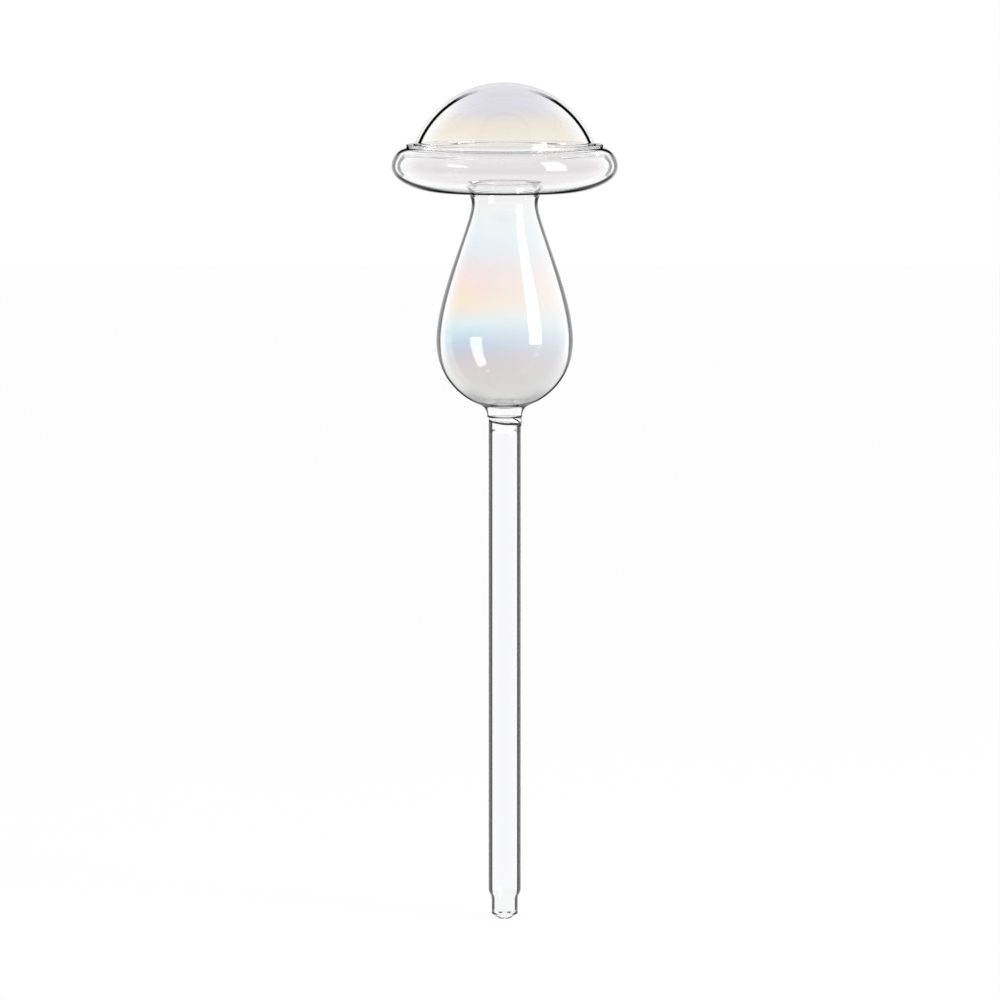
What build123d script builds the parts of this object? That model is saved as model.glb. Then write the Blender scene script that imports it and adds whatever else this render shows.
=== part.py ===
from build123d import *
from math import sqrt
import os

# Mushroom-shaped glass watering globe for a plant pot, in millimetres.
# It stands tip down on the Z axis. The origin is the centre of the drip opening, at the lowest
# point of the glass, and +Z runs up the feed tube and through the bulb to the top of the cap.
# A lampworker blows or draws each piece of glass by itself and melts them together, end to end.
# Each piece is its own solid here and seats face to face on the next one at the melted seam.

# Feed tube, drawn glass tubing that goes into the soil
tube_radius = 5.0
tube_wall = 1.2
tube_length = 144.0

# Drip tip, where the tube is drawn narrower and its end is closed in round a small opening
tip_step = 0.95
tip_wall = 0.9
tip_shoulder_length = 3.4
tip_straight_length = 4.5
tip_nose_height = 1.5
outlet_radius = 0.8
outlet_length = 0.8
outlet_lip_width = 0.9

# Waist, where the tube is necked in and sealed to the bulb
waist_depth = 0.6
waist_length = 2.8
waist_shoulder_length = 0.8
waist_bore_run = 2.2

# Glass trail, a flat thread wound once round the waist to cover the seal
trail_proud = 0.4
trail_height = 2.2
trail_groove = 0.3
trail_end_rise = 0.65
trail_end_angle = 100
trail_edge_thickness = 0.25
trail_sink = 0.3

# Bulb, a pear blown from one bubble: a short collar, a round bottom, a long taper and a neck
bulb_radius = 21.2
bulb_wall = 1.2
bulb_taper_length = 42.6
collar_step = 0.4
collar_root_radius = 3.6
collar_rim_radius = 0.35
collar_bore_run = 0.2
neck_radius = 10.2
neck_flare_length = 3.2
neck_flare_width = 1.2
taper_start_share = 0.34
taper_end_share = 0.85

# Brim, the hollow rolled rim and the floor of the mushroom cap
brim_radius = 35.0
brim_wall = 1.3
brim_drop = 8.3
brim_rise = 5.7
underside_reach = 18.0
ledge_setback = 4.5
ledge_step_height = 1.1
ledge_edge_radius = 0.4
ledge_width = 2.6
lip_reach = 4.3
lip_thickness = 2.2

# Dome, the round top of the mushroom cap
dome_height = 19.1
dome_wall = 1.2
dome_foot_radius = 0.8
dome_foot_edge = 0.3

# How far a tool runs past what it cuts
overrun = 1.0

# Control points of a shoulder curve stand this share of its height from each end
shoulder_pull_share = 0.5

# Levels up the axis, each stacked on the one below
tip_straight_level = tip_nose_height
tip_shoulder_level = tip_straight_level + tip_straight_length
tube_level = tip_shoulder_level + tip_shoulder_length
waist_level = tube_level + tube_length
seal_level = waist_level + waist_length

# Radii that follow the tube
tube_bore_radius = tube_radius - tube_wall
tip_radius = tube_radius - tip_step
tip_bore_radius = tip_radius - tip_wall
waist_radius = tube_radius - waist_depth
waist_bore_radius = waist_radius - tube_wall
collar_radius = tube_radius + collar_step

# The bulb's round bottom meets its collar in a concave root, tangent to both
root_centre_radius = collar_radius + collar_root_radius
root_drop = sqrt((bulb_radius + collar_root_radius) ** 2 - root_centre_radius**2)
root_level = seal_level + collar_bore_run + collar_rim_radius
bulb_level = root_level + root_drop
neck_level = bulb_level + bulb_taper_length
floor_level = neck_level + neck_flare_length

# The cap stands on its floor, and the dome on the brim's ledge
brim_level = floor_level + brim_drop
step_level = brim_level + brim_rise
ledge_level = step_level + ledge_step_height
ledge_radius = brim_radius - ledge_setback
floor_radius = brim_radius - underside_reach
dome_base_radius = ledge_radius - ledge_width
lip_radius = dome_base_radius - dome_wall - lip_reach
top_level = ledge_level + dome_height


def shoulder(start_radius, start_level, end_radius, end_level):
    """A smooth step between two radii, upright at both ends."""
    pull = (end_level - start_level) * shoulder_pull_share
    return Bezier(
        (start_radius, start_level),
        (start_radius, start_level + pull),
        (end_radius, end_level - pull),
        (end_radius, end_level),
    )


# Drip tip: the nose closes in to the outlet, and the shoulder opens to the tube's full width
with BuildPart() as drip_tip:
    with BuildSketch(Plane.XZ):
        with BuildLine():
            Polyline(
                (tip_bore_radius, tip_shoulder_level),
                (tip_bore_radius, tip_straight_level + tip_wall),
                (outlet_radius, outlet_length),
                (outlet_radius, 0),
                (outlet_radius + outlet_lip_width, 0),
                (tip_radius, tip_straight_level),
                (tip_radius, tip_shoulder_level),
            )
            shoulder(tip_radius, tip_shoulder_level, tube_radius, tube_level)
            Line((tube_radius, tube_level), (tube_bore_radius, tube_level))
            shoulder(tip_bore_radius, tip_shoulder_level, tube_bore_radius, tube_level)
        make_face()
    revolve(axis=Axis.Z)
drip_tip.part.label = "drip_tip"

# Feed tube: one straight length of tubing, necked in at its top to the waist
with BuildPart() as feed_tube:
    with BuildSketch(Plane.XZ):
        with BuildLine():
            waist_bore_level = waist_level - waist_bore_run
            waist_top_level = waist_level + waist_shoulder_length
            Line((tube_bore_radius, tube_level), (tube_radius, tube_level))
            Line((tube_radius, tube_level), (tube_radius, waist_level))
            shoulder(tube_radius, waist_level, waist_radius, waist_top_level)
            Polyline(
                (waist_radius, waist_top_level),
                (waist_radius, seal_level),
                (waist_bore_radius, seal_level),
                (waist_bore_radius, waist_level),
            )
            shoulder(tube_bore_radius, waist_bore_level, waist_bore_radius, waist_level)
            Line((tube_bore_radius, waist_bore_level), (tube_bore_radius, tube_level))
        make_face()
    revolve(axis=Axis.Z)
feed_tube.part.label = "feed_tube"

# The room that the waist leaves for the trail, between the tube's shoulder and the bulb's collar
with BuildPart() as trail_room:
    with BuildSketch(Plane.XZ):
        with BuildLine():
            trail_outer_radius = tube_radius + trail_proud
            room_radius = trail_outer_radius + overrun
            Polyline(
                (waist_radius, waist_top_level),
                (waist_radius, seal_level),
                (room_radius, seal_level),
                (room_radius, waist_level),
                (tube_radius, waist_level),
            )
            shoulder(tube_radius, waist_level, waist_radius, waist_top_level)
        make_face()
    revolve(axis=Axis.Z)

# Glass trail: a thread with a rounded face, wound down to the right across the front.
# It is pressed flat where the winding runs past the tube's shoulder and the bulb's collar.
with BuildPart() as trail_winding:
    trail_low_level = waist_level + trail_end_rise
    trail_climb = waist_length - trail_end_rise + trail_height / 2 + overrun / 2
    with BuildLine() as trail_path:
        Helix(
            trail_height + trail_groove,
            trail_climb,
            waist_radius,
            center=(0, 0, trail_low_level),
            lefthand=True,
        )
    with BuildSketch(Plane.XZ):
        with BuildLine():
            trail_inner_radius = waist_radius - trail_sink
            edge_radius = waist_radius + trail_edge_thickness
            low_level = trail_low_level - trail_height / 2
            high_level = trail_low_level + trail_height / 2
            Polyline(
                (edge_radius, low_level),
                (trail_inner_radius, low_level),
                (trail_inner_radius, high_level),
                (edge_radius, high_level),
            )
            ThreePointArc(
                (edge_radius, high_level),
                (trail_outer_radius, trail_low_level),
                (edge_radius, low_level),
            )
        make_face()
    sweep(path=trail_path.line, is_frenet=True)
    add(trail_room.part, mode=Mode.INTERSECT)

with BuildPart() as seam_trail:
    add(trail_winding.part.rotate(Axis.Z, trail_end_angle))
seam_trail.part.label = "seam_trail"


def bulb_line(inset):
    """One face of the bulb's wall from its collar up to its neck, set in by inset."""
    root_radius = collar_root_radius + inset
    sphere_radius = bulb_radius - inset
    meet_share = sphere_radius / (bulb_radius + collar_root_radius)
    meet = (root_centre_radius * meet_share, bulb_level - root_drop * meet_share)
    taper = bulb_taper_length
    RadiusArc((root_centre_radius - root_radius, root_level), meet, root_radius)
    RadiusArc(meet, (sphere_radius, bulb_level), -sphere_radius)
    Bezier(
        (sphere_radius, bulb_level),
        (sphere_radius, bulb_level + taper * taper_start_share),
        (neck_radius - inset, bulb_level + taper * taper_end_share),
        (neck_radius - inset, neck_level),
    )
    TangentArc(
        (neck_radius - inset, neck_level),
        (neck_radius + neck_flare_width - inset, floor_level),
        tangent=(0, 1),
    )


# Bulb: the reservoir, open at its collar to the tube and at its neck to the cap
with BuildPart() as stem_bulb:
    with BuildSketch(Plane.XZ):
        with BuildLine():
            bulb_line(0)
            bulb_line(bulb_wall)
            collar_bore_radius = collar_radius - bulb_wall
            rim_level = seal_level + collar_rim_radius
            Line(
                (neck_radius + neck_flare_width, floor_level),
                (neck_radius + neck_flare_width - bulb_wall, floor_level),
            )
            shoulder(waist_bore_radius, seal_level, collar_bore_radius, root_level)
            Line(
                (waist_bore_radius, seal_level),
                (collar_radius - collar_rim_radius, seal_level),
            )
            RadiusArc(
                (collar_radius - collar_rim_radius, seal_level),
                (collar_radius, rim_level),
                -collar_rim_radius,
            )
            Line((collar_radius, rim_level), (collar_radius, root_level))
        make_face()
    revolve(axis=Axis.Z)
stem_bulb.part.label = "stem_bulb"

# Brim: a flat floor round the neck, a rolled edge, and a thick inward lip that carries the dome
with BuildPart() as cap_brim:
    with BuildSketch(Plane.XZ):
        with BuildLine():
            floor_hole_radius = neck_radius + neck_flare_width - bulb_wall
            inner_floor_level = floor_level + brim_wall
            inner_brim_radius = brim_radius - brim_wall
            lip_under_level = ledge_level - lip_thickness
            crown_radius = lip_under_level - brim_level
            lip_round_radius = lip_thickness / 2
            Line((floor_hole_radius, floor_level), (floor_radius, floor_level))
            EllipticalCenterArc(
                (floor_radius, brim_level), underside_reach, brim_drop, start_angle=270, arc_size=90
            )
            TangentArc((brim_radius, brim_level), (ledge_radius, step_level), tangent=(0, 1))
            Line((ledge_radius, step_level), (ledge_radius, ledge_level - ledge_edge_radius))
            RadiusArc(
                (ledge_radius, ledge_level - ledge_edge_radius),
                (ledge_radius - ledge_edge_radius, ledge_level),
                -ledge_edge_radius,
            )
            Line(
                (ledge_radius - ledge_edge_radius, ledge_level),
                (lip_radius + lip_round_radius, ledge_level),
            )
            ThreePointArc(
                (lip_radius + lip_round_radius, ledge_level),
                (lip_radius, ledge_level - lip_round_radius),
                (lip_radius + lip_round_radius, lip_under_level),
            )
            Line(
                (lip_radius + lip_round_radius, lip_under_level),
                (inner_brim_radius - crown_radius, lip_under_level),
            )
            TangentArc(
                (inner_brim_radius, brim_level),
                (inner_brim_radius - crown_radius, lip_under_level),
                tangent=(0, 1),
            )
            EllipticalCenterArc(
                (floor_radius, brim_level),
                underside_reach - brim_wall,
                brim_drop - brim_wall,
                start_angle=270,
                arc_size=90,
            )
            Line((floor_radius, inner_floor_level), (floor_hole_radius, inner_floor_level))
            Line((floor_hole_radius, inner_floor_level), (floor_hole_radius, floor_level))
        make_face()
    revolve(axis=Axis.Z)
cap_brim.part.label = "cap_brim"

# Dome: a cap of a sphere through its base circle and its top, with a foot melted to the ledge
with BuildPart() as cap_dome:
    with BuildSketch(Plane.XZ):
        with BuildLine():
            dome_radius = (dome_base_radius**2 + dome_height**2) / (dome_height * 2)
            dome_level = top_level - dome_radius
            inner_radius = dome_radius - dome_wall
            inner_base_radius = sqrt(inner_radius**2 - (ledge_level - dome_level) ** 2)
            foot_level = ledge_level + dome_foot_edge
            foot_rise = foot_level + dome_foot_radius - dome_level
            foot_radius = sqrt((dome_radius + dome_foot_radius) ** 2 - foot_rise**2)
            foot_share = dome_radius / (dome_radius + dome_foot_radius)
            foot_meet = (foot_radius * foot_share, dome_level + foot_rise * foot_share)
            RadiusArc((0, top_level), foot_meet, dome_radius)
            RadiusArc(foot_meet, (foot_radius, foot_level), -dome_foot_radius)
            Polyline(
                (foot_radius, foot_level),
                (foot_radius, ledge_level),
                (inner_base_radius, ledge_level),
            )
            RadiusArc((inner_base_radius, ledge_level), (0, top_level - dome_wall), -inner_radius)
            Line((0, top_level - dome_wall), (0, top_level))
        make_face()
    revolve(axis=Axis.Z)
cap_dome.part.label = "cap_dome"

pieces = (drip_tip, feed_tube, seam_trail, stem_bulb, cap_brim, cap_dome)
os.makedirs("parts", exist_ok=True)
for piece in pieces:
    export_step(piece.part, f"parts/{piece.part.label}.step")
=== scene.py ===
from math import acos, atan2, ceil, cos, hypot, pi, radians, sin, sqrt

import bmesh
import bpy
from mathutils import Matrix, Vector


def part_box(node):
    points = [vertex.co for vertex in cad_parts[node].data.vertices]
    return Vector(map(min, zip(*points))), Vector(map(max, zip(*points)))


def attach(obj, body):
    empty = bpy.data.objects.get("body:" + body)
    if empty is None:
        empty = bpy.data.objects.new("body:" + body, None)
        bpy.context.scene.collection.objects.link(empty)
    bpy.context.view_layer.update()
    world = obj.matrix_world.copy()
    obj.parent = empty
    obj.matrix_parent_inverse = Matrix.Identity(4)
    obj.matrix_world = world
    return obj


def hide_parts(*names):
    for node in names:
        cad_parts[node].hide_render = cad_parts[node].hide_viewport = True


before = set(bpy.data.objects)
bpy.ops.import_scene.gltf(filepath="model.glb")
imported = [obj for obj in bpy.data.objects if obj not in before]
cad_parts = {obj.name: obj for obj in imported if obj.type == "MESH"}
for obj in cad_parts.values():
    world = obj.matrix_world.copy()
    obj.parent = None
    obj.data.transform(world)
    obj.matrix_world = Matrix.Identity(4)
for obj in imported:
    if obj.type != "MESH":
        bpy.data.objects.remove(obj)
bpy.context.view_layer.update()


# Feed tube
# The long stem that stands in the soil: clear borosilicate tubing, drawn 10 mm across, cut to
# length, flame-polished, and necked in at its top, where it is melted to the bulb.

tube_low, tube_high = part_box("feed_tube")
tube_radius = tube_high.x
tube_wall = 0.0012
tube_bore = tube_radius - tube_wall
waist_length = 0.0028
waist_depth = 0.0006
waist_shoulder = 0.0008
waist_bore_run = 0.0022
waist_radius = tube_radius - waist_depth
waist_bore = waist_radius - tube_wall
waist_level = tube_high.z - waist_length
waist_top = waist_level + waist_shoulder

TURN_STEPS = 288
SHARP_CORNER = radians(24)
ON_AXIS = 1e-7
OUTSIDE, INSIDE, SEAM = 0, 1, 2
GLASS_IOR = 1.47


def bezier(*held, steps=24):
    """Points on a cubic curve through four control points."""
    points = []
    for i in range(steps + 1):
        t = i / steps
        shares = ((1 - t) ** 3, 3 * t * (1 - t) ** 2, 3 * t * t * (1 - t), t**3)
        points.append(tuple(sum(s * p[k] for s, p in zip(shares, held)) for k in (0, 1)))
    return points


def shoulder(start_radius, start_level, end_radius, end_level):
    """A smooth step between two radii, upright at both ends."""
    pull = (end_level - start_level) / 2
    return bezier(
        (start_radius, start_level),
        (start_radius, start_level + pull),
        (end_radius, end_level - pull),
        (end_radius, end_level),
        steps=12,
    )


def straight(start, end, longest=0.004):
    """Points along a straight run, none further apart than the longest step."""
    steps = max(1, ceil(hypot(end[0] - start[0], end[1] - start[1]) / longest))
    shares = [i / steps for i in range(steps + 1)]
    return [tuple(a + (b - a) * share for a, b in zip(start, end)) for share in shares]


def finished(name, bm, materials):
    """Makes a piece of the object from its mesh data."""
    bmesh.ops.recalc_face_normals(bm, faces=bm.faces)
    mesh = bpy.data.meshes.new(name)
    bm.to_mesh(mesh)
    bm.free()
    for material in materials:
        mesh.materials.append(material)
    piece = bpy.data.objects.new(name, mesh)
    bpy.context.collection.objects.link(piece)
    return piece


def spin(name, runs, materials):
    """Turns a closed outline about the axis, as glass is turned in the lathe.

    Each run is (surface, points) and starts where the one before it ends.
    """
    outline, surfaces, sharp = [], [], []
    for i, (surface, points) in enumerate(runs):
        before = runs[i - 1][1]
        arriving = atan2(before[-1][1] - before[-2][1], before[-1][0] - before[-2][0])
        leaving = atan2(points[1][1] - points[0][1], points[1][0] - points[0][0])
        bend = abs((leaving - arriving + pi) % (2 * pi) - pi)
        for j, point in enumerate(points[:-1]):
            outline.append(point)
            surfaces.append(surface)
            sharp.append(j == 0 and bend > SHARP_CORNER)
    bm = bmesh.new()
    rings = []
    for radius, level in outline:
        if radius < ON_AXIS:
            rings.append([bm.verts.new((0, 0, level))] * TURN_STEPS)
            continue
        turns = [2 * pi * step / TURN_STEPS for step in range(TURN_STEPS)]
        rings.append([bm.verts.new((radius * cos(t), radius * sin(t), level)) for t in turns])
    for i, ring in enumerate(rings):
        above = rings[(i + 1) % len(rings)]
        for step in range(TURN_STEPS):
            after = (step + 1) % TURN_STEPS
            corners = [ring[step], ring[after], above[after], above[step]]
            corners = [v for k, v in enumerate(corners) if v not in corners[:k]]
            if len(corners) > 2:
                face = bm.faces.new(corners)
                face.smooth = True
                face.material_index = surfaces[i]
    for i, ring in enumerate(rings):
        if sharp[i] and ring[0] is not ring[1]:
            for step in range(TURN_STEPS):
                bm.edges.get((ring[step], ring[(step + 1) % TURN_STEPS])).smooth = False
    return finished(name, bm, materials)


def colour(hex_code):
    """An sRGB hex value as linear red, green, blue and alpha. A plain number is a grey."""
    if not isinstance(hex_code, str):
        return [hex_code, hex_code, hex_code, 1]
    channels = [int(hex_code[i : i + 2], 16) / 255 for i in (1, 3, 5)]
    return [c / 12.92 if c <= 0.04045 else ((c + 0.055) / 1.055) ** 2.4 for c in channels] + [1]


def add(tree, kind, links=(), stops=(), **settings):
    """Adds a node. A setting is a property, or an input by its name or number, as in i1=2.

    A link is (input, output socket). Stops are (position, colour) pairs of a colour ramp, in
    which a plain number stands for a grey.
    """
    node = tree.nodes.new(kind)
    for key, value in settings.items():
        if hasattr(node, key):
            setattr(node, key, value)
        elif key[0] == "i" and key[1:].isdigit():
            node.inputs[int(key[1:])].default_value = value
        else:
            node.inputs[key.replace("_", " ")].default_value = value
    for socket, source in links:
        tree.links.new(source, node.inputs[socket])
    if stops:
        elements = node.color_ramp.elements
        elements.remove(elements[-1])
        elements[0].position, elements[0].color = stops[0][0], colour(stops[0][1])
        for position, hex_code in stops[1:]:
            elements.new(position).color = colour(hex_code)
    return node


def new_material(name):
    """An empty material and its node tree."""
    material = bpy.data.materials.new(name)
    material.use_nodes = True
    material.node_tree.nodes.clear()
    return material, material.node_tree


def by_level(tree, level, stops):
    """A colour, or a plain value, that changes evenly between its (level, value) stops."""
    low, high = stops[0][0], stops[-1][0]
    place = add(tree, "ShaderNodeMapRange", [("Value", level)], From_Min=low, From_Max=high)
    stops = [((at - low) / (high - low), value) for at, value in stops]
    links = [("Fac", place.outputs["Result"])]
    return add(tree, "ShaderNodeValToRGB", links, stops).outputs["Color"]


def film_tint(tree, place, level, wall, bands, edges, painted_lit_side=None):
    """The film's colours by level, drifting a little, giving way to others towards the rim.

    The last argument holds paler colours painted over the object's right, the side that faces
    the softbox: painted light.
    """
    cloud_size, drift = 0.022, 0.006
    fade_start, fade_end = 0.05, 0.12
    cloud = add(tree, "ShaderNodeTexNoise", [("Vector", place)], Scale=1 / cloud_size, Detail=1)
    links = [(0, cloud.outputs["Fac"]), (2, level)]
    moved = add(tree, "ShaderNodeMath", links, operation="MULTIPLY_ADD", i1=drift).outputs[0]
    # The cloud is 0.5 on average, so half the drift is added to keep the bands in place.
    colours = by_level(tree, moved, [(at + drift / 2, hex_code) for at, hex_code in bands])
    gloss = add(tree, "ShaderNodeFresnel", IOR=GLASS_IOR).outputs["Fac"]
    links = [("Value", gloss)]
    edge = add(tree, "ShaderNodeMapRange", links, From_Min=fade_start, From_Max=fade_end)
    # Painted light: paler colours laid over the right, the side that faces the softbox.
    if painted_lit_side:
        reach, most = 0.016, 0.75
        side = add(tree, "ShaderNodeSeparateXYZ", [("Vector", place)]).outputs["X"]
        links = [("Value", side)]
        right = add(
            tree, "ShaderNodeMapRange", links, From_Min=-reach, From_Max=reach, To_Max=most
        )
        lit_side_colours = by_level(tree, level, painted_lit_side)
        links = [(0, right.outputs["Result"]), (6, colours), (7, lit_side_colours)]
        colours = add(tree, "ShaderNodeMix", links, data_type="RGBA").outputs[2]
    links = [(0, edge.outputs["Result"]), (6, colours), (7, by_level(tree, level, edges))]
    laid = add(tree, "ShaderNodeMix", links, data_type="RGBA").outputs[2]
    links = [(6, laid), (7, wall)]
    return add(
        tree, "ShaderNodeMix", links, data_type="RGBA", blend_type="MULTIPLY", i0=1
    ).outputs[2]


def turned_away(tree, level, inner, swell):
    """How far a face turns from the eye, or on an inner face how much it mirrors."""
    if inner:
        turned = add(tree, "ShaderNodeFresnel", IOR=GLASS_IOR).outputs["Fac"]
    else:
        turned = add(tree, "ShaderNodeLayerWeight", Blend=0.5).outputs["Facing"]
    if swell:
        links = [(0, turned), (1, by_level(tree, level, swell))]
        operation = "MULTIPLY" if inner else "ADD"
        turned = add(tree, "ShaderNodeMath", links, operation=operation).outputs[0]
    return turned


def painted_shade_share(tree, level, turned, inner, line, line_levels):
    """The share of a painted black, standing for shade where the wall is seen edge-on."""
    share = add(tree, "ShaderNodeValToRGB", [("Fac", turned)], line).outputs["Color"]
    if not inner:
        # The black is painted on an outer face where light comes in, and not again where it goes
        # out.
        links = [(0, share), (1, add(tree, "ShaderNodeNewGeometry").outputs["Backfacing"])]
        share = add(tree, "ShaderNodeMath", links, operation="SUBTRACT", use_clamp=True).outputs[0]
    if line_levels:
        links = [(0, share), (1, by_level(tree, level, line_levels))]
        share = add(tree, "ShaderNodeMath", links, operation="MULTIPLY").outputs[0]
    return share


def glass(
    name,
    rim=None,
    inner=False,
    film=None,
    line=None,
    line_levels=None,
    swell=None,
    ripple=0.000004,
    ripple_size=0.010,
):
    """Borosilicate glass with a fire-finished face, smooth and clear, faintly rippled by the flame.

    rim is the wall's tint by how far the face turns from the eye, or on an inner face by how
    much it mirrors; its grey and black stretches are painted shade. film is an iridescent tint by
    level, laid over rim, and line the share of a painted black, standing for shade where the
    wall is seen edge-on, weighted by line_levels. swell says how much further in rim and line
    reach, by level.
    """
    material, tree = new_material(name)
    place = add(tree, "ShaderNodeTexCoord").outputs["Object"]
    level = add(tree, "ShaderNodeSeparateXYZ", [("Vector", place)]).outputs["Z"]
    turned = turned_away(tree, level, inner, swell) if rim or line else None
    waves = add(tree, "ShaderNodeTexNoise", [("Vector", place)], Scale=1 / ripple_size, Detail=1)
    bump = add(tree, "ShaderNodeBump", [("Height", waves.outputs["Fac"])], Distance=ripple)
    links = [("Normal", bump.outputs["Normal"])]
    if rim:
        tint = add(tree, "ShaderNodeValToRGB", [("Fac", turned)], rim).outputs["Color"]
        if film:
            tint = film_tint(tree, place, level, tint, *film)
        links.append(("Base Color", tint))
    shader = add(
        tree,
        "ShaderNodeBsdfPrincipled",
        links,
        Base_Color=colour("#ffffff"),
        Transmission_Weight=1,
        Roughness=0,
        IOR=GLASS_IOR,
    ).outputs["BSDF"]
    # Painted shade: a black that lets no light through, mixed in where the wall is seen edge-on.
    if line:
        share = painted_shade_share(tree, level, turned, inner, line, line_levels)
        painted_black = add(
            tree,
            "ShaderNodeBsdfPrincipled",
            Base_Color=colour("#000000"),
            Transmission_Weight=1,
            Roughness=0,
            IOR=1,
        ).outputs["BSDF"]
        shader = add(tree, "ShaderNodeMixShader", [(0, share), (1, shader), (2, painted_black)]).outputs[0]
    add(tree, "ShaderNodeOutputMaterial", [("Surface", shader)])
    return material


# Clear drawn tubing, with a faint lilac middle. Its edge is painted dark, as painted shade, and
# the dark reaches furthest in over the short necked-in stretch.
tubing_glass = glass(
    "drawn_tubing_glass",
    rim=[
        (0.00, "#f8f8fc"),
        (0.20, "#fafbfd"),
        (0.31, "#ffffff"),
        (0.82, "#ffffff"),
        (0.87, "#040406"),
        (1.00, "#040406"),
    ],
    swell=[(0.1514, 0), (0.1517, 0.5)],
    ripple_size=0.004,
)
# Beyond the bore's width its wall mirrors all the light. That stretch is drawn dark, as in the
# photograph, and shows as the tube's grey edge from any height.
# The dark stretch is painted shade: a black mixed into the glass.
tubing_inner_glass = glass(
    "drawn_tubing_inner_wall",
    inner=True,
    line=[(0, 0), (0.90, 0), (1, 0.93)],
    line_levels=[(0.0022, 0), (0.0024, 1), (0.1519, 1), (0.1521, 0)],
    ripple=0.000002,
)

# Where two pieces are melted together the glass runs through, so nothing shows at the joint.
melted_seam, tree = new_material("melted_seam")
clear = add(tree, "ShaderNodeBsdfTransparent").outputs[0]
add(tree, "ShaderNodeOutputMaterial", [("Surface", clear)])

tube = spin(
    "tube_glass",
    [
        (OUTSIDE, straight((tube_radius, tube_low.z), (tube_radius, waist_level))),
        (SEAM, shoulder(tube_radius, waist_level, waist_radius, waist_top)),
        (SEAM, straight((waist_radius, waist_top), (waist_radius, tube_high.z))),
        (SEAM, straight((waist_radius, tube_high.z), (waist_bore, tube_high.z))),
        (INSIDE, straight((waist_bore, tube_high.z), (waist_bore, waist_level))),
        (INSIDE, shoulder(tube_bore, waist_level - waist_bore_run, waist_bore, waist_level)[::-1]),
        (INSIDE, straight((tube_bore, waist_level - waist_bore_run), (tube_bore, tube_low.z))),
        (SEAM, straight((tube_bore, tube_low.z), (tube_radius, tube_low.z))),
    ],
    [tubing_glass, tubing_inner_glass, melted_seam],
)
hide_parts("feed_tube")
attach(tube, "root")


# Drip tip
# The tube's lower end, drawn narrower in the flame and closed in round a small opening that
# lets the water out a drop at a time. It is melted to the tube, wall to wall.

_, tip_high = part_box("drip_tip")
tip_step = 0.00095
tip_radius = tube_radius - tip_step
tip_wall = 0.0009
tip_bore = tip_radius - tip_wall
tip_shoulder_length = 0.0034
tip_nose = 0.0015
outlet_radius = 0.0008
outlet_length = 0.0008
outlet_lip = 0.0009
outlet_rim = outlet_radius + outlet_lip
tip_shoulder_level = tip_high.z - tip_shoulder_length

# The same tubing, drawn down: a thinner wall, with a finer edge painted dark, and a clear nose
# with a few fine strokes painted dark, all of it painted shade.
tip_glass = glass(
    "drawn_down_tip_glass",
    rim=[(0, "#f6f7f7"), (0.55, "#f8f9f9"), (0.74, "#ffffff"), (0.80, "#040406"), (1, "#040406")],
    swell=[
        (0.0000, 0.21),
        (0.0004, 0.17),
        (0.0009, 0.08),
        (0.0014, 0.00),
        (0.0016, 0.36),
        (0.0024, 0.36),
        (0.0027, 0.00),
    ],
    ripple_size=0.004,
)
tip = spin(
    "tip_glass",
    [
        (OUTSIDE, straight((outlet_rim, 0), (tip_radius, tip_nose), longest=0.0005)),
        (OUTSIDE, straight((tip_radius, tip_nose), (tip_radius, tip_shoulder_level))),
        (OUTSIDE, shoulder(tip_radius, tip_shoulder_level, tube_radius, tip_high.z)),
        (SEAM, straight((tube_radius, tip_high.z), (tube_bore, tip_high.z))),
        (INSIDE, shoulder(tip_bore, tip_shoulder_level, tube_bore, tip_high.z)[::-1]),
        (INSIDE, straight((tip_bore, tip_shoulder_level), (tip_bore, tip_nose + tip_wall))),
        (INSIDE, straight((tip_bore, tip_nose + tip_wall), (outlet_radius, outlet_length))),
        (INSIDE, straight((outlet_radius, outlet_length), (outlet_radius, 0))),
        (OUTSIDE, straight((outlet_radius, 0), (outlet_rim, 0))),
    ],
    [tip_glass, tubing_inner_glass, melted_seam],
)
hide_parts("drip_tip")
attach(tip, "root")


# Stem bulb
# The pear-shaped reservoir, blown from one bubble of borosilicate glass: a short collar, a round
# bottom, a long taper and a flared neck. Its outside has a thin iridescent film.

bulb_low, bulb_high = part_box("stem_bulb")
bulb_radius = bulb_high.x
bulb_wall = 0.0012
collar_radius = tube_radius + 0.0004
collar_rim = 0.00035
collar_bore_run = 0.0002
thread_seat = 0.0047
root_radius = 0.0036
neck_radius = 0.0102
neck_flare_length = 0.0032
neck_flare_width = 0.0012
taper_length = 0.0426
taper_start_share = 0.34
taper_end_share = 0.85
root_centre = collar_radius + root_radius
root_level = bulb_low.z + collar_bore_run + collar_rim
bulb_level = root_level + sqrt((bulb_radius + root_radius) ** 2 - root_centre**2)
neck_level = bulb_level + taper_length
root_turn = acos(root_centre / (bulb_radius + root_radius))
flare_radius = (neck_flare_width**2 + neck_flare_length**2) / (2 * neck_flare_width)
flare_turn = 2 * atan2(neck_flare_width, neck_flare_length)
ARC_STEP = radians(3)


def arc(centre, radius, start, end, height=None):
    """Points on a circle, or on an ellipse of another height, from one angle to another."""
    steps = max(2, ceil(abs(end - start) / ARC_STEP))
    height = radius if height is None else height
    angles = [start + (end - start) * i / steps for i in range(steps + 1)]
    return [(centre[0] + radius * cos(a), centre[1] + height * sin(a)) for a in angles]


def bulb_face(inset):
    """One face of the bulb's wall, from its collar up to its neck."""
    body = bulb_radius - inset
    neck = neck_radius - inset
    return [
        arc((root_centre, root_level), root_radius + inset, pi, pi - root_turn),
        arc((0, bulb_level), body, -root_turn, 0),
        bezier(
            (body, bulb_level),
            (body, bulb_level + taper_length * taper_start_share),
            (neck, bulb_level + taper_length * taper_end_share),
            (neck, neck_level),
            steps=60,
        ),
        arc((neck + flare_radius, neck_level), flare_radius, pi, pi - flare_turn),
    ]
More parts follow.
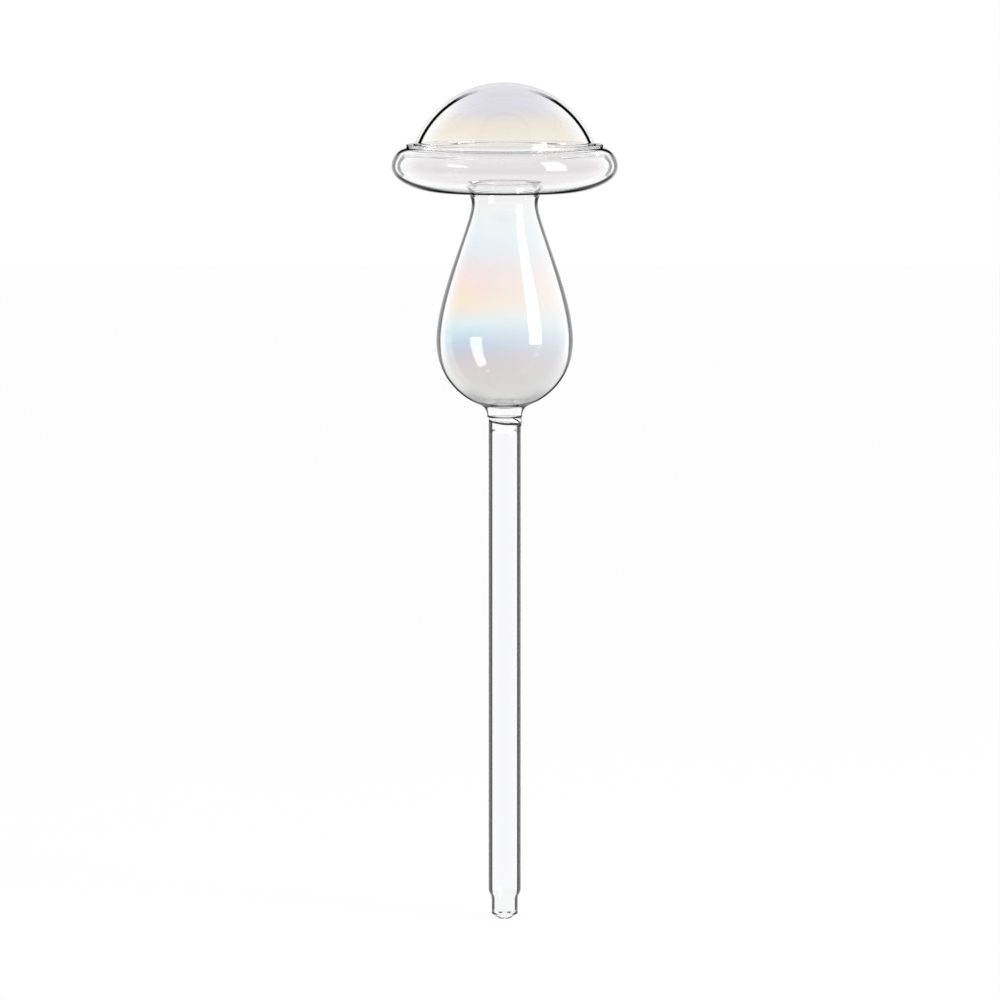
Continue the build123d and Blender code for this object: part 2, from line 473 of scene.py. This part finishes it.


# Blown glass with a sprayed metal-oxide film: soft bands of blue, rose, peach and sky blue over
# the middle, and greyer round the bottom, which is painted shade. The right side, which faces the
# softbox, is painted paler: painted light. The right side is painted paler, as the photograph
# shows it, whether a thinner film or the lamp makes it so there.
bulb_bands = [
    (0.1560, "#fcfcfc"),
    (0.1595, "#fafafa"),
    (0.1620, "#dad9d6"),
    (0.1660, "#d7d5d2"),
    (0.1717, "#d6d0ce"),
    (0.1755, "#cfcad0"),
    (0.1786, "#c1d0e5"),
    (0.1817, "#cce4ef"),
    (0.1848, "#ddf1f8"),
    (0.1879, "#f0ece2"),
    (0.1915, "#f8e8d0"),
    (0.1953, "#fbe1d2"),
    (0.1993, "#f7e0dd"),
    (0.2034, "#ede0e2"),
    (0.2071, "#e5e8ed"),
    (0.2120, "#e2f0f5"),
    (0.2170, "#ecf1f3"),
    (0.2220, "#efeced"),
]
# Painted shade: towards the edges the film greys round the bottom, darkest just above the collar.
bulb_edges = [
    (0.1590, "#ffffff"),
    (0.1602, "#a8a8aa"),
    (0.1625, "#a0a0a2"),
    (0.1652, "#dcdcdc"),
    (0.1720, "#ececec"),
    (0.1760, "#ffffff"),
]
bulb_painted_lit_side = [
    (0.1595, "#fafafa"),
    (0.1625, "#dadada"),
    (0.1740, "#dcdadd"),
    (0.1800, "#e6eaee"),
    (0.1860, "#f4f8fa"),
    (0.1920, "#fbfbfb"),
]
# The bulb's edge is painted dark all round, as painted shade, in a wider band round the bottom and
# at the top of the neck.
bulb_glass = glass(
    "iridescent_blown_glass",
    rim=[(0, "#ffffff"), (0.72, "#ffffff"), (0.77, "#040406"), (1, "#040406")],
    swell=[
        (0.1562, 0.85),
        (0.1566, 0.80),
        (0.1568, 0.10),
        (0.1592, 0.12),
        (0.1602, 0.12),
        (0.1618, 0.00),
        (0.1700, 0.00),
        (0.1780, 0.10),
        (0.2120, 0.11),
        (0.2220, 0.18),
        (0.2243, 0.18),
        (0.2249, 0.00),
    ],
    line=[(0, 0), (0.77, 0), (0.83, 1), (1, 1)],
    line_levels=[
        (0.1598, 0.6),
        (0.1606, 0.3),
        (0.1620, 1.0),
        (0.1690, 1.0),
        (0.1760, 0.0),
        (0.2210, 0.0),
        (0.2230, 0.8),
        (0.2243, 0.8),
        (0.2249, 0.0),
    ],
    film=(bulb_bands, bulb_edges, bulb_painted_lit_side),
)
# The inside of a blown wall is as the flame and the blowpipe left it, and takes no film.
inner_glass = glass("clear_inner_wall", ripple=0.000002)
outside = bulb_face(0)
inside = bulb_face(bulb_wall)
flare_end = outside[-1][-1]
rim_corner = (collar_radius - collar_rim, bulb_low.z + collar_rim)
bulb = spin(
    "bulb_glass",
    [
        (SEAM, straight((waist_radius, bulb_low.z), (thread_seat, bulb_low.z))),
        (OUTSIDE, straight((thread_seat, bulb_low.z), (collar_radius - collar_rim, bulb_low.z))),
        (OUTSIDE, arc(rim_corner, collar_rim, -pi / 2, 0)),
        (OUTSIDE, straight((collar_radius, bulb_low.z + collar_rim), (collar_radius, root_level))),
        *[(OUTSIDE, run) for run in outside],
        (SEAM, straight(flare_end, inside[-1][-1])),
        *[(INSIDE, run[::-1]) for run in inside[::-1]],
        (INSIDE, shoulder(waist_bore, bulb_low.z, collar_radius - bulb_wall, root_level)[::-1]),
        (SEAM, straight((waist_bore, bulb_low.z), (waist_radius, bulb_low.z))),
    ],
    [bulb_glass, inner_glass, melted_seam],
)
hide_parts("stem_bulb")
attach(bulb, "root")


# Seam trail
# A thread of hot glass laid in the tube's necked-in top and wound once round it, over the seal
# between tube and bulb. It starts thin under the collar at the front right and ends below itself.

trail_low, trail_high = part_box("seam_trail")
trail_clearance = 0.00002
trail_foot = 0.0046
trail_gap = 0.000005
melted_edge = 0.0001
thread_level = 0.1556
trail_bottom = trail_low.z + trail_clearance
trail_top = trail_high.z - trail_clearance
trail_rows = 50
trail_flatness = 6
# Each station of the thread: turn in degrees from +X, level of its middle, half its height, its
# outer radius, and the height of the crease along its lower edge, painted dark as shade.
trail_stations = [
    (-60, 0.15618, 0.00002, 0.00500, 0.00020),
    (-50, 0.15600, 0.00018, 0.00508, 0.00026),
    (-38, 0.15570, 0.00048, 0.00515, 0.00040),
    (-24, 0.15545, 0.00073, 0.00522, 0.00002),
    (0, 0.15511, 0.00106, 0.00525, 0.00002),
    (90, 0.15540, 0.00080, 0.00505, 0.00020),
    (180, 0.15578, 0.00040, 0.00480, 0.00024),
    (225, 0.15547, 0.00072, 0.00490, 0.00048),
    (270, 0.15519, 0.00100, 0.00502, 0.00066),
    (300, 0.15514, 0.00104, 0.00508, 0.00066),
    (322, 0.15467, 0.00070, 0.00515, 0.00068),
    (345, 0.15400, 0.00056, 0.00520, 0.00112),
    (370, 0.15382, 0.00038, 0.00512, 0.00076),
    (395, 0.15358, 0.00014, 0.00505, 0.00020),
]
THREAD, CREASE, JOINED, TUBE = 0, 1, 2, 3


def between(stations, at):
    """The values at one place, run straight between the two stations on either side of it."""
    for start, end in zip(stations, stations[1:]):
        if start[0] <= at <= end[0]:
            share = (at - start[0]) / (end[0] - start[0])
            return [a + (b - a) * share for a, b in zip(start[1:], end[1:])]
    return None


def thread_face(degrees_round, level):
    """The outer radius of the glass at one place of the seam, and which surface shows there."""
    for turn in (degrees_round, degrees_round + 360):
        station = between(trail_stations, turn)
        if station:
            middle, half, crest, crease = station
            across = (level - middle) / half
            if abs(across) < 1:
                surface = CREASE if level < middle - half + crease else THREAD
                return trail_foot + (crest - trail_foot) * sqrt(1 - across**trail_flatness), surface
            if -1 - melted_edge / half < across < 0:
                return tube_radius, CREASE
    return tube_radius, TUBE if level < thread_level else THREAD


def turn_at(step):
    """The turn in degrees at one step round the seam, counted from where the thread starts."""
    turn = 360 * step / TURN_STEPS
    return turn - 360 if turn > 360 + trail_stations[0][0] else turn


waist_face = [(tube_radius, 0), *shoulder(tube_radius, waist_level, waist_radius, waist_top)]
waist_stations = [(level, radius) for radius, level in waist_face]
waist_stations.append((bulb_low.z, waist_radius))

bm = bmesh.new()
loops = []
row_height = (trail_top - trail_bottom) / trail_rows
levels = [trail_bottom + row_height * row for row in range(trail_rows + 1)]
for step in range(TURN_STEPS):
    turn = turn_at(step)
    faces = [thread_face(turn, level)[0] for level in levels]
    loop = list(zip(faces, levels))
    loop += [(between(waist_stations, level)[0] + trail_gap, level) for level in levels[::-1]]
    turn = radians(turn)
    loops.append([bm.verts.new((r * cos(turn), r * sin(turn), level)) for r, level in loop])
for step, loop in enumerate(loops):
    after = loops[(step + 1) % TURN_STEPS]
    turn = turn_at(step + 0.5)
    for k in range(len(loop)):
        n = (k + 1) % len(loop)
        face = bm.faces.new((loop[k], loop[n], after[n], after[k]))
        face.smooth = True
        face.material_index = JOINED
        if k < trail_rows:
            face.material_index = thread_face(turn, (levels[k] + levels[k + 1]) / 2)[1]
# Clear as the tube, with a fine line of painted shade where the thread rounds away.
thread_glass = glass(
    "trailed_thread_glass",
    rim=[(0, "#ffffff"), (0.66, "#ffffff"), (0.76, "#101014"), (1, "#101014")],
    line=[(0, 0), (0.78, 0), (0.86, 1), (1, 1)],
    ripple_size=0.002,
)
# The steep edge where the thread is melted down is painted nearly black: painted shade.
painted_shade_crease_glass = glass(
    "thread_edge_glass",
    line=[(0, 0.9), (1, 0.9)],
    ripple_size=0.002,
)
trail = finished("trail_glass", bm, [thread_glass, painted_shade_crease_glass, melted_seam, tubing_glass])
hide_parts("seam_trail")
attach(trail, "root")


# Cap brim
# The hollow rolled rim of the mushroom's cap, blown and turned: a flat floor melted to the neck,
# a full round edge, a step, and a thick inward lip that carries the dome.

brim_low, brim_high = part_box("cap_brim")
dome_low, dome_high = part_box("cap_dome")
brim_radius = brim_high.x
brim_wall = 0.0013
brim_drop = 0.0083
brim_rise = 0.0057
underside_reach = 0.0180
ledge_setback = 0.0045
ledge_radius = brim_radius - ledge_setback
ledge_edge = 0.0004
ledge_width = 0.0026
lip_reach = 0.0043
lip_thickness = 0.0022
brim_level = brim_low.z + brim_drop
step_level = brim_level + brim_rise
ledge_level = brim_high.z
floor_radius = brim_radius - underside_reach
hole_radius = inside[-1][-1][0]
dome_base = ledge_radius - ledge_width
dome_height = dome_high.z - dome_low.z
dome_radius = (dome_base**2 + dome_height**2) / (2 * dome_height)
dome_level = dome_high.z - dome_radius
dome_wall = 0.0012
dome_foot_radius = 0.0008
dome_foot_edge = 0.0003
dome_inner = dome_radius - dome_wall
dome_inner_base = sqrt(dome_inner**2 - (ledge_level - dome_level) ** 2)
foot_level = ledge_level + dome_foot_edge
foot_rise = foot_level + dome_foot_radius - dome_level
foot_radius = sqrt((dome_radius + dome_foot_radius) ** 2 - foot_rise**2)
lip_radius = dome_base - dome_wall - lip_reach
lip_round = lip_thickness / 2
lip_under = ledge_level - lip_thickness
inner_brim = brim_radius - brim_wall
crown_radius = lip_under - brim_level
brim_round = (ledge_setback**2 + brim_rise**2) / (2 * ledge_setback)
brim_turn = 2 * atan2(ledge_setback, brim_rise)
inner_reach = underside_reach - brim_wall
inner_drop = brim_drop - brim_wall
brim_floor = brim_low.z + brim_wall
ledge_corner = (ledge_radius - ledge_edge, ledge_level - ledge_edge)
lip_corner = (lip_radius + lip_round, ledge_level - lip_round)
lip_end = (inner_brim - crown_radius, lip_under)

# The same film, thin and nearly grey here. The wall's edge is painted grey outside, with a painted
# dark line within it round the underside and up to the step, both painted shade.
brim_bands = [(0.2250, "#e3dfe1"), (0.2340, "#e4e0e2"), (0.2400, "#f0eeee")]
brim_edges = [(0.2250, "#ffffff"), (0.2400, "#ffffff")]
brim_glass = glass(
    "iridescent_brim_glass",
    rim=[(0, "#ffffff"), (0.77, "#ffffff"), (0.81, "#101014"), (1, "#101014")],
    swell=[
        (brim_low.z + 0.0010, 0.0),
        (brim_low.z + 0.0028, 0.05),
        (step_level - 0.0030, 0.06),
        (step_level - 0.0014, 0.0),
    ],
    film=(brim_bands, brim_edges),
    line=[(0, 0), (0.80, 0), (0.84, 1), (0.90, 1), (0.95, 0.3), (1, 0.3)],
    line_levels=[
        (brim_low.z + 0.0012, 1.0),
        (brim_low.z + 0.0025, 0.8),
        (brim_level - 0.0030, 0.8),
        (brim_level - 0.0016, 0.2),
        (step_level - 0.0028, 0.2),
        (step_level - 0.0012, 1.0),
    ],
)
# The brim's inside mirrors the wall a second time, and that mirror image is painted as a fine
# dark line within its edge: a painted reflection.
brim_inner_glass = glass(
    "blown_brim_inner_wall",
    rim=[(0.20, "#ffffff"), (0.24, "#303034"), (0.36, "#303034"), (0.41, "#ffffff")],
    inner=True,
    swell=[
        (brim_level - 0.0028, 0.0),
        (brim_level - 0.0014, 1.0),
        (brim_level + 0.0025, 1.0),
        (brim_level + 0.0040, 0.0),
    ],
    ripple=0.000002,
)
# The step's turned edge is thick, and painted dark where it is seen edge-on: painted shade.
ledge_glass = glass(
    "turned_ledge_glass",
    line=[(0, 0), (0.70, 0), (0.78, 1), (0.90, 1), (0.91, 0)],
)
LEDGE = 3
brim = spin(
    "brim_glass",
    [
        (SEAM, straight((hole_radius, brim_low.z), flare_end)),
        (OUTSIDE, straight(flare_end, (floor_radius, brim_low.z))),
        (OUTSIDE, arc((floor_radius, brim_level), underside_reach, -pi / 2, 0, brim_drop)),
        (OUTSIDE, arc((brim_radius - brim_round, brim_level), brim_round, 0, brim_turn)),
        (LEDGE, straight((ledge_radius, step_level), (ledge_radius, ledge_level - ledge_edge))),
        (OUTSIDE, arc(ledge_corner, ledge_edge, 0, pi / 2)),
        (OUTSIDE, straight((ledge_radius - ledge_edge, ledge_level), (foot_radius, ledge_level))),
        (SEAM, straight((foot_radius, ledge_level), (dome_inner_base, ledge_level))),
        (INSIDE, straight((dome_inner_base, ledge_level), (lip_corner[0], ledge_level))),
        (INSIDE, arc(lip_corner, lip_round, pi / 2, 3 * pi / 2)),
        (INSIDE, straight((lip_corner[0], lip_under), lip_end)),
        (INSIDE, arc((lip_end[0], brim_level), crown_radius, pi / 2, 0)),
        (INSIDE, arc((floor_radius, brim_level), inner_reach, 0, -pi / 2, inner_drop)),
        (INSIDE, straight((floor_radius, brim_floor), (hole_radius, brim_floor))),
        (SEAM, straight((hole_radius, brim_floor), (hole_radius, brim_low.z))),
    ],
    [brim_glass, brim_inner_glass, melted_seam, ledge_glass],
)
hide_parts("cap_brim")
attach(brim, "root")


# Cap dome
# The round top of the mushroom, a blown cap of a sphere with a small foot, melted down on the
# brim's lip. The same iridescent film runs over it, lilac above and cream below.

foot_turn = atan2(foot_rise, foot_radius)
foot_corner = (foot_radius, foot_level + dome_foot_radius)
inner_foot_turn = atan2(ledge_level - dome_level, dome_inner_base)

# The same film again. The crown hardly shows its edge, painted a soft grey, and a fine dark line
# is painted within the edge of the flanks; both are painted shade.
dome_bands = [
    (0.2405, "#f8f2e8"),
    (0.2440, "#f2ebda"),
    (0.2480, "#eee5d8"),
    (0.2505, "#e2dee1"),
    (0.2540, "#dcdae5"),
    (0.2600, "#dfdde6"),
]
dome_edges = [(0.2510, "#ffffff"), (0.2565, "#dddce4")]
dome_glass = glass(
    "iridescent_dome_glass",
    rim=[(0, "#ffffff"), (0.82, "#ffffff"), (0.90, "#707074"), (1, "#707074")],
    film=(dome_bands, dome_edges),
    line=[(0, 0), (0.65, 0), (0.675, 1), (0.745, 1), (0.785, 0)],
    line_levels=[(0.2545, 1), (0.2580, 0)],
)
dome = spin(
    "dome_glass",
    [
        (OUTSIDE, arc((0, dome_level), dome_radius, pi / 2, foot_turn)),
        (OUTSIDE, arc(foot_corner, dome_foot_radius, pi + foot_turn, 3 * pi / 2)),
        (LEDGE, straight((foot_radius, foot_level), (foot_radius, ledge_level))),
        (SEAM, straight((foot_radius, ledge_level), (dome_inner_base, ledge_level))),
        (INSIDE, arc((0, dome_level), dome_inner, inner_foot_turn, pi / 2)),
        (INSIDE, straight((0, dome_level + dome_inner), (0, dome_high.z), longest=1)),
    ],
    [dome_glass, inner_glass, melted_seam, ledge_glass],
)
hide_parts("cap_dome")
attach(dome, "root")


# Floor
# A plain white studio table. What the camera and the glass see of it is white paper lit evenly,
# and a share of it takes the lamp's light, so the globe keeps its faint shadow.

floor_reach = 4.0
paper_glow = 0.93
floor_mesh = bpy.data.meshes.new("studio_floor")
corners = [(-floor_reach, -floor_reach, 0), (floor_reach, -floor_reach, 0)]
corners += [(floor_reach, floor_reach, 0), (-floor_reach, floor_reach, 0)]
floor_mesh.from_pydata(corners, [], [(0, 1, 2, 3)])
floor = bpy.data.objects.new("studio_floor", floor_mesh)
bpy.context.collection.objects.link(floor)


def seen_directly(tree):
    """1 for what the camera sees, straight or by way of glass, and 0 for the light it sends."""
    path = add(tree, "ShaderNodeLightPath")
    links = [(0, path.outputs["Is Camera Ray"]), (1, path.outputs["Is Glossy Ray"])]
    either = add(tree, "ShaderNodeMath", links, operation="MAXIMUM").outputs[0]
    links = [(0, either), (1, path.outputs["Is Transmission Ray"])]
    return add(tree, "ShaderNodeMath", links, operation="MAXIMUM").outputs[0]


floor_paper, tree = new_material("white_table_paper")
lit = add(tree, "ShaderNodeBsdfDiffuse", Color=colour("#ffffff")).outputs[0]
bright = add(tree, "ShaderNodeEmission", Color=colour("#ffffff"), Strength=1).outputs[0]
links = [(0, seen_directly(tree))]
share = add(tree, "ShaderNodeMath", links, operation="MULTIPLY", i1=paper_glow).outputs[0]
links = [(0, share), (1, lit), (2, bright)]
both = add(tree, "ShaderNodeMixShader", links).outputs[0]
add(tree, "ShaderNodeOutputMaterial", [("Surface", both)])
floor_mesh.materials.append(floor_paper)


# Studio light
# A white surround that turns grey overhead, which draws the cap's edges, and one upright softbox
# from the front right. The glass mirrors the softbox twice, right way up and upside down.

surround_light = 0.8
world = bpy.data.worlds.new("studio")
bpy.context.scene.world = world
world.use_nodes = True
tree = world.node_tree
tree.nodes.clear()
white = colour("#ffffff")
plain = add(tree, "ShaderNodeBackground", Color=white, Strength=surround_light).outputs[0]
direction = add(tree, "ShaderNodeTexCoord").outputs["Generated"]
height = add(tree, "ShaderNodeSeparateXYZ", [("Vector", direction)]).outputs["Z"]
sky = [(0, "#ffffff"), (0.40, "#ffffff"), (0.80, "#e8e8e8"), (1, "#e0e0e0")]
overhead = add(tree, "ShaderNodeValToRGB", [("Fac", height)], sky).outputs["Color"]
backdrop = add(tree, "ShaderNodeBackground", [("Color", overhead)], Strength=1).outputs[0]
links = [(0, seen_directly(tree)), (1, plain), (2, backdrop)]
both = add(tree, "ShaderNodeMixShader", links).outputs[0]
add(tree, "ShaderNodeOutputWorld", [("Surface", both)])

softbox = bpy.data.lights.new("softbox", "AREA")
softbox.shape = "RECTANGLE"
softbox.size = 0.32
softbox.size_y = 0.80
softbox.energy = 6
softbox_stand = bpy.data.objects.new("softbox", softbox)
softbox_turn = radians(54)
softbox_distance = 0.8
softbox_height = 0.53
softbox_stand.location = (
    softbox_distance * sin(softbox_turn),
    -softbox_distance * cos(softbox_turn),
    softbox_height,
)
softbox_stand.rotation_euler = (pi / 2, 0, softbox_turn)
bpy.context.collection.objects.link(softbox_stand)


# Camera
# A long lens from straight in front and a little above, as the photograph was taken, with the
# globe's axis and tip at the photograph's pixels.

frame_width = 0.310
axis_pixel = 504.7
tip_pixel = 921
pixels = 1000
camera_distance = 2.6
camera_rise = radians(4.5)
camera_data = bpy.data.cameras.new("camera")
camera_data.sensor_width = 36
camera_data.lens = camera_data.sensor_width * camera_distance / frame_width
camera_data.clip_end = 20
camera = bpy.data.objects.new("camera", camera_data)
target = Vector(
    (
        (pixels / 2 - axis_pixel) / pixels * frame_width,
        0,
        (tip_pixel - pixels / 2) / pixels * frame_width,
    )
)
camera.location = target + camera_distance * Vector((0, -cos(camera_rise), sin(camera_rise)))
camera.rotation_euler = (target - camera.location).to_track_quat("-Z", "Y").to_euler()
bpy.context.collection.objects.link(camera)
bpy.context.scene.camera = camera
bpy.context.scene.view_settings.view_transform = "Standard"

# Light crosses up to twelve glass faces on its way through the cap, and mirrors within the walls.
# With fewer bounces than these it would end inside them and leave black lines.
bpy.context.scene.cycles.max_bounces = 32
bpy.context.scene.cycles.glossy_bounces = 24
bpy.context.scene.cycles.transmission_bounces = 24
